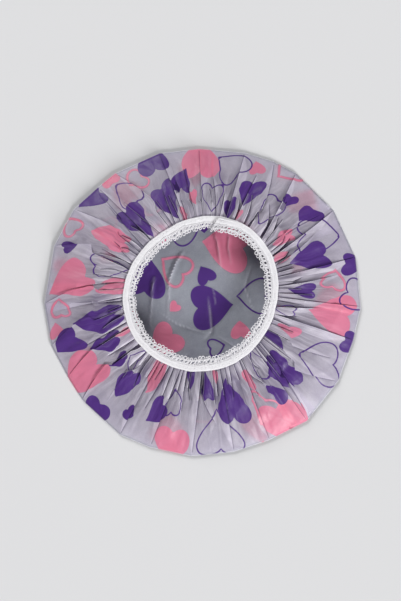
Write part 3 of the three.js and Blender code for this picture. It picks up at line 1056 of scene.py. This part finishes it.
def tape_strip():
    """The heading: rounded wales over the cores, with a soft edge on both sides."""
    strip = Strip()
    rows = np.arange(0, RING_LENGTH, HEADING_STEP)
    rows = rows / rows[-1] * RING_LENGTH
    turn = pi * np.linspace(0, 1, HEADING_COLUMNS)
    inward = TAPE_WIDTH * (1 - np.cos(turn)) / 2
    wales = np.abs(np.sin(pi * CORE_COUNT * inward / TAPE_WIDTH)) ** WALE_POWER
    half = TAPE_THICKNESS / 2
    full = half * np.sin(turn) ** EDGE_POWER
    top = half + full * (1 - WALE_GROOVE + WALE_GROOVE * wales)
    bottom = half - full * (1 - UNDER_GROOVE + UNDER_GROOVE * wales)
    profile = np.concatenate([
        np.column_stack([inward, top]), np.column_stack([inward, bottom])[-2:0:-1]
    ])
    around = running(np.linalg.norm(np.diff(profile, axis=0), axis=1))
    around = np.where(np.arange(len(profile)) < HEADING_COLUMNS, profile[:, 0], around)
    points = np.empty((len(rows), len(profile), 3))
    points[..., 0], points[..., 1:] = rows[:, None], profile
    strip.grid(points, np.stack(np.broadcast_arrays(rows[:, None], around), -1))
    return strip


# Distances in from the heading, in millimetres: rows of close yarn, and the slots between them
LACE_ROWS = (0.1, 0.75, 1.4, 3.75, 4.3)
LACE_SLOTS = (1.3, 3.9)
LACE_EYE = 1.15 * MM
EYE_SIZES = (0.78, 1.2)
LACE_STEP = 0.36 * MM
LACE_SWAY = 0.2 * MM
LACE_KNOTS, LACE_KNOTS_WIDE = 4 * MM, 9 * MM
PLY_LENGTH = 1.25 * MM
PLY_SWELL = 0.9 * MM
CROSSED_BARS = 0.35
YARN_SIDES = 6


def lace_strip(settings):
    """The openwork: close rows by the heading, slanted bars with slots, two rows, and picot eyes."""
    strip = Strip()
    rng = np.random.default_rng(settings.lace_seed)
    repeats = round(RING_LENGTH / settings.lace_repeat)
    repeat = RING_LENGTH / repeats
    along = np.linspace(0, RING_LENGTH, round(RING_LENGTH / LACE_STEP))
    slack = settings.lace_slack

    def drift(reach, apart=LACE_KNOTS):
        """Slow uneven drift along the strip."""
        knots = np.arange(0, RING_LENGTH + 2 * apart, apart)
        return np.interp(along, knots, rng.normal(0, reach, len(knots)))

    edge = drift(0.9 * slack) + drift(1.5 * slack, LACE_KNOTS_WIDE)

    def edge_at(place):
        return np.interp(place, along, edge)

    def strand(x, inward, up, thickness):
        """Yarn through places along the strip, inward of the heading and up from its middle."""
        places = (np.clip(x, 0, RING_LENGTH), TAPE_WIDTH + inward, TAPE_THICKNESS / 2 + up)
        path = np.column_stack(np.broadcast_arrays(*places))
        strip.tube(path, settings.yarn / 2 * thickness, YARN_SIDES)

    for index, inward in enumerate(LACE_ROWS):
        phase = rng.uniform(0, tau)
        sway = LACE_SWAY * np.sin(along / repeat * tau * 2 + phase)
        ply = np.sin(along / PLY_LENGTH * tau + phase)
        strand(
            along, inward * MM + sway + inward / LACE_ROWS[-1] * edge + drift(0.4 * slack),
            (0.32 * ply + 0.12 * (index % 2)) * MM + drift(0.5 * slack),
            1.1 + 0.16 * np.cos(along / PLY_SWELL * tau + phase),
        )

    bar = np.linspace(0, 1, 5)
    low, high = LACE_SLOTS
    for index in range(2 * repeats):
        lean = 0.36 * repeat + rng.normal(0, slack)
        here = (index // 2 + 0.36 + 0.25 * (index % 2)) * repeat + rng.normal(0, 0.8 * slack)
        strand(
            here + lean * (bar - 0.5), lerp(low, high, bar) * MM + 0.7 * edge_at(here),
            0.26 * MM * np.sin(pi * bar + index) + rng.normal(0, 0.4 * slack), rng.uniform(0.95, 1.4),
        )
        if index % 2 and rng.random() < CROSSED_BARS:
            across = lerp(low, high, rng.uniform(0.3, 0.8)) * MM + rng.normal(0, slack, len(bar))
            up = 0.2 * MM * np.cos(pi * bar)
            strand(here + (0.35 + 1.1 * bar) * MM, across, up, rng.uniform(0.8, 1.3))

    turn = np.linspace(-0.3, 1.3, 17) * tau / 1.6 - pi / 2
    knot = np.linspace(-0.5, 0.5, 5)
    for index in range(repeats):
        here = (index + 0.5) * repeat + rng.normal(0, slack)
        size = LACE_EYE * rng.uniform(*EYE_SIZES)
        out = (LACE_ROWS[-1] + 0.25) * MM + size + edge_at(here)
        tilt = rng.normal(0, 0.25)
        strand(
            here + size * np.cos(turn), out + rng.normal(0, 0.6 * slack) + size * np.sin(turn) * 1.05,
            size * tilt * np.cos(turn) + 0.1 * MM * np.sin(turn), rng.uniform(0.92, 1.08),
        )
        between = (index + 1) * repeat + rng.normal(0, slack)
        strand(
            between + knot * 1.5 * MM, (LACE_ROWS[-1] + 0.45 - 2 * knot**2) * MM + edge_at(between),
            0.2 * MM * np.cos(tau * knot + index), rng.uniform(0.95, 1.25),
        )
    return strip


# How far the rubber stands out of the heading's cut ends
CORE_OUT = 0.35 * MM
CORE_STEPS, CORE_SIDES = 420, 10


def core_strip(index):
    """One rubber strand, which ends a little outside the cut ends of the heading."""
    strip = Strip()
    low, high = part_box(f"rubber_core_{index + 1}")
    radius = (high.z - low.z - TAPE_THICKNESS - SEAT_GAP) / 2
    along = np.linspace(-CORE_OUT, RING_LENGTH + CORE_OUT, CORE_STEPS)
    inward = TAPE_WIDTH * (index + 0.5) / CORE_COUNT
    path = np.column_stack(np.broadcast_arrays(along, inward, TAPE_THICKNESS / 2))
    strip.tube(path, radius, CORE_SIDES)
    return strip


# The needle thread over the heading, the bobbin thread from its underside, and how each dips at a hole
NEEDLE_LIFT, NEEDLE_DIP = 0.05 * MM, 0.3 * MM
BOBBIN_HEIGHT, BOBBIN_DIP = -2.0 * MM, -0.2 * MM
STITCH_STEPS, DIP_POWER = 6, 5


def stitch_strip(settings, height, dip):
    """A zigzag thread that bends down into the work at each needle hole."""
    strip = Strip()
    per_degree = RING_LENGTH / (LAP_END - LAP_START)
    start = (LAP_ANGLE + THREAD_END_ANGLE) * per_degree
    end = RING_LENGTH - THREAD_END_ANGLE * per_degree
    holes = round((end - start) / settings.stitch * 2)
    step = np.arange(holes * STITCH_STEPS + 1) / STITCH_STEPS
    side = np.abs((step % 2) - 1) * 2 - 1
    down = np.clip(np.abs((step % 1) - 0.5) * 2, 0, 1) ** DIP_POWER
    path = np.column_stack([
        start + (end - start) * step / holes, TAPE_WIDTH / 2 + settings.swing * side, height - dip * down
    ])
    strip.tube(path, settings.thread / 2, YARN_SIDES)
    return strip


def length_setting(name, description, default, least=0.0):
    return FloatProperty(
        name=name, description=description, default=default, min=least, subtype="DISTANCE", unit="LENGTH"
    )


def share_setting(name, description, default, most=1.0):
    return FloatProperty(
        name=name, description=description, default=default, min=0.0, max=most, subtype="FACTOR"
    )


def number_setting(name, description, default):
    return FloatProperty(name=name, description=description, default=default, min=0.0)


def colour_setting(name, description, default):
    return FloatVectorProperty(
        name=name, description=description, default=default, size=3, subtype="COLOR", min=0.0, max=1.0
    )


class FilmSettings(bpy.types.PropertyGroup):
    """Sizes and colours of the film."""

    main_fold: length_setting(
        "Main fold", "Overlap of a fold that starts at a corner of the outline", 0.0115
    )
    branch_fold: length_setting("Branch fold", "Overlap of a fold that opens part of the way in", 0.006)
    gather: length_setting("Gather", "Overlap of a gather at the elastic", 0.0037)
    branches: number_setting("Branches", "Folds that open within one facet of the outline", 3.7)
    fold_rise: share_setting("Fold rise", "Height of a fold against its overlap", 0.35)
    gather_rise: share_setting("Gather rise", "Height of a gather against its overlap", 1.0, most=2.0)
    fold_height: length_setting("Fold height", "Greatest height of a fold", 0.005)
    crumple: length_setting("Crumple", "Height of the soft waves in the return", 0.0007)
    wrinkle: length_setting("Wrinkle", "Height of the drawn wrinkles in the return", 0.0004)
    crown_crumple: length_setting("Crown crumple", "Height of the soft waves in the crown", 0.0016)
    stroke: length_setting("Purple stroke", "Width of the purple outlines", 0.0015)
    pink_stroke: length_setting("Pink stroke", "Width of the pink outlines", 0.0025)
    haze: share_setting("Haze", "Share of the bare film that isn't see-through", 0.5)
    ghost: share_setting(
        "Ghost", "How much the hearts of the layer behind tint the film, scattered in it", 0.26
    )
    crown_tint: colour_setting(
        "Crown tint", "What the bare film's colour is multiplied by on the crown", (0.73, 0.81, 0.785)
    )
    roundness: number_setting("Roundness", "How much the light rolls off towards a fold's edge", 3.0)
    # Painted shade between the streaks
    streak_shade: share_setting(
        "Streak depth", "How much darker the film is between its drawn streaks", 0.31
    )
    streak_rim: share_setting(
        "Streaks at the rim", "How strong the drawn streaks are at the rim, against the mouth", 0.05
    )
    # Painted shade where the film comes out from under a fold
    tuck_shade: share_setting(
        "Tuck shade", "How much darker the film is where it comes out from under a fold", 0.62
    )
    ink_density: share_setting("Ink density", "Share of the printed film that isn't see-through", 0.94)
    tint: colour_setting("Tint", "Colour of the bare film", (0.86, 0.785, 0.95))
    tint_deep: colour_setting(
        "Deep tint", "Colour of the bare film where it is cloudier", (0.93, 0.865, 1.0)
    )
    clear: colour_setting(
        "See-through tint", "Colour that the bare film gives to what is behind it", (0.56, 0.58, 0.60)
    )
    purple: colour_setting("Purple ink", "Colour of the purple hearts", (0.122, 0.044, 0.31))
    pink: colour_setting("Pink ink", "Colour of the pink hearts", (0.98, 0.30, 0.46))


class ElasticSettings(bpy.types.PropertyGroup):
    """Sizes and colours of the lace elastic and its seam."""

    wale: length_setting("Wale", "Width of one rib of the heading", TAPE_WIDTH / CORE_COUNT, least=0.0001)
    course: length_setting("Course", "Length of one stitch of the heading", 0.0008, least=0.0001)
    yarn: length_setting("Yarn", "Diameter of the yarn in the lace", 0.00079, least=0.0001)
    lace_repeat: length_setting(
        "Lace repeat", "Distance from one picot to the next", 0.0033, least=0.001
    )
    lace_slack: length_setting("Lace slack", "How far the lace's loops lie from their places", 0.00038)
    lace_seed: IntProperty(name="Lace seed", description="Start of the lace's unevenness", default=4, min=0)
    stitch: length_setting("Stitch", "Length of one zigzag of the seam", 0.0029, least=0.001)
    swing: length_setting("Swing", "Reach of the zigzag to each side", 0.0011)
    thread: length_setting("Thread", "Diameter of the sewing thread", 0.0003, least=0.0001)
    knit: colour_setting("Knit", "Colour of the elastic", (0.91, 0.90, 0.925))
    # Painted shade between the stitches and plies of the heading and the lace
    knit_shade: colour_setting(
        "Knit shade", "Colour of the elastic between its stitches", (0.76, 0.74, 0.78)
    )


class StageSettings(bpy.types.PropertyGroup):
    """Floor, light and camera."""

    floor: colour_setting("Floor", "Colour of the floor", (0.72, 0.72, 0.73))
    key: number_setting("Key", "Strength of the key light", 3.7)
    fill: number_setting("Fill", "Strength of the fill light", 2.3)
    world: number_setting("World", "Strength of the light from all round", 0.14)
    backdrop: number_setting("Backdrop", "Brightness of what shows behind the floor", 0.72)
    lens: FloatProperty(
        name="Lens", description="Focal length of the camera", default=70.0, min=1.0,
        subtype="DISTANCE_CAMERA",
    )
    pixel: length_setting("Pixel", "Size on the cap of one pixel of the photograph", 0.000894)
    long_side: IntProperty(
        name="Long side", description="Height of the picture in pixels", default=601, min=1
    )


class OBJECT_OT_cap_film(bpy.types.Operator):
    """Makes the pleated and gathered film with its printed hearts."""

    bl_idname = "object.cap_film"
    bl_label = "Film"

    def execute(self, context):
        settings = context.scene.cap_film
        film = Film(settings)
        material = film_material(settings)
        piece = mesh_piece("pleated_film", film.points, film.faces, material, ["film_cap"], 50)
        add_map(piece.data, "flat", film.flat)
        for kind, hearts in filled_crown().items():
            printed = hearts + turned_over(film, RETURN_HEARTS[kind])
            add_values(piece.data, kind, heart_distance(film.flat, printed))
            if kind.endswith("hearts"):
                behind = heart_distance(film.points[:, :2], hearts)
                behind = np.where(film.values["turned_over"], behind, NO_HEART)
                add_values(piece.data, kind + "_behind", behind)
        for name, values in film.values.items():
            add_values(piece.data, name, values)
        return {"FINISHED"}


class OBJECT_OT_cap_heading(bpy.types.Operator):
    """Makes the close knitted heading of the elastic."""

    bl_idname = "object.cap_heading"
    bl_label = "Heading"

    def execute(self, context):
        knit = knit_material(context.scene.cap_elastic)
        tape_strip().piece("knit_heading", knit, "knit", ["elastic_tape"], sharp=50)
        return {"FINISHED"}


class OBJECT_OT_cap_lace(bpy.types.Operator):
    """Makes the openwork edge with its picot loops."""

    bl_idname = "object.cap_lace"
    bl_label = "Lace"

    def execute(self, context):
        settings = context.scene.cap_elastic
        yarn = yarn_material("lace_yarn", settings.knit, settings.knit_shade, LACE_TWIST, LACE_ROUGH)
        lace_strip(settings).piece("lace_loops", yarn, "knit", ["lace_edging"], sharp=85)
        return {"FINISHED"}


class OBJECT_OT_cap_cores(bpy.types.Operator):
    """Makes the rubber strands inside the heading."""

    bl_idname = "object.cap_cores"
    bl_label = "Rubber strands"

    def execute(self, context):
        latex = rubber_material()
        for index in range(CORE_COUNT):
            core_strip(index).piece(
                f"rubber_strand_{index + 1}", latex, "rubber", [f"rubber_core_{index + 1}"]
            )
        return {"FINISHED"}


class OBJECT_OT_cap_seam(bpy.types.Operator):
    """Makes the two threads of the zigzag seam."""

    bl_idname = "object.cap_seam"
    bl_label = "Seam"

    def execute(self, context):
        settings = context.scene.cap_elastic
        thread = yarn_material("sewing_thread", THREAD, THREAD_SHADE, THREAD_TWIST, THREAD_ROUGH)
        above = stitch_strip(settings, TAPE_THICKNESS + NEEDLE_LIFT, NEEDLE_DIP)
        above.piece("needle_stitches", thread, "thread", ["needle_thread"])
        below = stitch_strip(settings, BOBBIN_HEIGHT, BOBBIN_DIP)
        below.piece("bobbin_stitches", thread, "thread", ["bobbin_thread"], laps=False)
        return {"FINISHED"}


# The floor's reach and depth, where each lamp stands with its spread in degrees, and the sky's colour
FLOOR_REACH = 40.0
FLOOR_DEPTH = 0.05 * MM
LAMPS = {"key": ((1.5, -2.2, 1.25), 22), "fill": ((-1.2, 2.08, 1.5), 30)}
SKY = (0.97, 0.98, 1.0, 1.0)

# How far the photograph's middle lies off the cap's, in pixels, and the height that pixels are measured at
CAMERA_ASIDE = 2
CAMERA_LEVEL = 0.01


class OBJECT_OT_cap_stage(bpy.types.Operator):
    """Makes the floor, the lamps and the camera above the cap."""

    bl_idname = "object.cap_stage"
    bl_label = "Stage"

    def execute(self, context):
        scene = context.scene
        settings = scene.cap_stage
        self.floor(scene, settings)
        for name, (place, spread) in LAMPS.items():
            self.light(scene, name + "_light", place, spread, getattr(settings, name))
        self.world(scene, settings)
        self.camera(scene, settings)
        scene.view_settings.view_transform = "Standard"
        return {"FINISHED"}

    def floor(self, scene, settings):
        """Wide pale floor with a faint grain."""
        nodes = Nodes("floor_paint")
        grain = nodes.add("TexNoise", Scale=60.0, Detail=6.0).outputs["Fac"]
        tone = nodes.blend(nodes.spread(grain), [v * 0.985 for v in settings.floor], settings.floor)
        paint = nodes.add("BsdfPrincipled", Base_Color=tone, Roughness=0.8).outputs[0]
        mesh = bpy.data.meshes.new("floor")
        corners = [(x * FLOOR_REACH, y * FLOOR_REACH, 0) for x, y in ((-1, -1), (1, -1), (1, 1), (-1, 1))]
        mesh.from_pydata(corners, [], [(0, 1, 2, 3)])
        mesh.materials.append(nodes.finish(paint))
        floor = bpy.data.objects.new("floor", mesh)
        floor.location.z = -FLOOR_DEPTH
        scene.collection.objects.link(floor)

    def light(self, scene, name, place, spread, strength):
        """Broad even light from the direction of a place, over a spread in degrees."""
        data = bpy.data.lights.new(name, "SUN")
        data.angle, data.energy = radians(spread), strength
        light = bpy.data.objects.new(name, data)
        light.location = place
        light.rotation_euler = (-Vector(place)).to_track_quat("-Z", "Y").to_euler()
        scene.collection.objects.link(light)

    def world(self, scene, settings):
        """Weak light from all round, which the camera sees as a pale backdrop."""
        world = bpy.data.worlds.new("studio")
        world.use_nodes = True
        tree = world.node_tree
        back = tree.nodes["Background"]
        back.inputs["Color"].default_value = SKY
        ray = tree.nodes.new("ShaderNodeLightPath")
        strength = tree.nodes.new("ShaderNodeMapRange")
        strength.inputs["To Min"].default_value = settings.world
        strength.inputs["To Max"].default_value = settings.backdrop
        tree.links.new(ray.outputs["Is Camera Ray"], strength.inputs["Value"])
        tree.links.new(strength.outputs[0], back.inputs["Strength"])
        scene.world = world

    def camera(self, scene, settings):
        """Camera straight above, as high as the photograph's scale asks for."""
        data = bpy.data.cameras.new("camera")
        data.lens = settings.lens
        camera = bpy.data.objects.new("camera", data)
        reach = settings.pixel * settings.long_side * data.lens / data.sensor_width
        aside = CAMERA_ASIDE * settings.pixel
        camera.location = (-aside, aside, reach + CAMERA_LEVEL)
        scene.collection.objects.link(camera)
        scene.camera = camera


class VIEW3D_PT_cap(bpy.types.Panel):
    """Lists the steps that dress the cap."""

    bl_label = "Shower cap"
    bl_space_type = "VIEW_3D"
    bl_region_type = "UI"
    bl_category = "Shower cap"

    def draw(self, context):
        for operator in OPERATORS:
            self.layout.operator(operator.bl_idname)


SETTINGS = {"cap_film": FilmSettings, "cap_elastic": ElasticSettings, "cap_stage": StageSettings}
OPERATORS = (
    OBJECT_OT_cap_film,
    OBJECT_OT_cap_heading,
    OBJECT_OT_cap_lace,
    OBJECT_OT_cap_cores,
    OBJECT_OT_cap_seam,
    OBJECT_OT_cap_stage,
)
CLASSES = (*SETTINGS.values(), *OPERATORS, VIEW3D_PT_cap)


def register():
    for item in CLASSES:
        bpy.utils.register_class(item)
    for name, group in SETTINGS.items():
        setattr(bpy.types.Scene, name, PointerProperty(type=group))


def unregister():
    for name in SETTINGS:
        delattr(bpy.types.Scene, name)
    for item in reversed(CLASSES):
        bpy.utils.unregister_class(item)


def declare_film():
    """Reads the film's flat disc from its UV map into an array."""
    film = bpy.data.objects["pleated_film"]
    flat = np.empty(len(film.data.loops) * 2, np.float32)
    film.data.uv_layers["flat"].data.foreach_get("uv", flat)


def main():
    register()
    bpy.ops.object.cap_film()
    bpy.ops.object.cap_heading()
    bpy.ops.object.cap_lace()
    bpy.ops.object.cap_cores()
    bpy.ops.object.cap_seam()
    bpy.ops.object.cap_stage()
    declare_film()


if __name__ == "__main__":
    main()
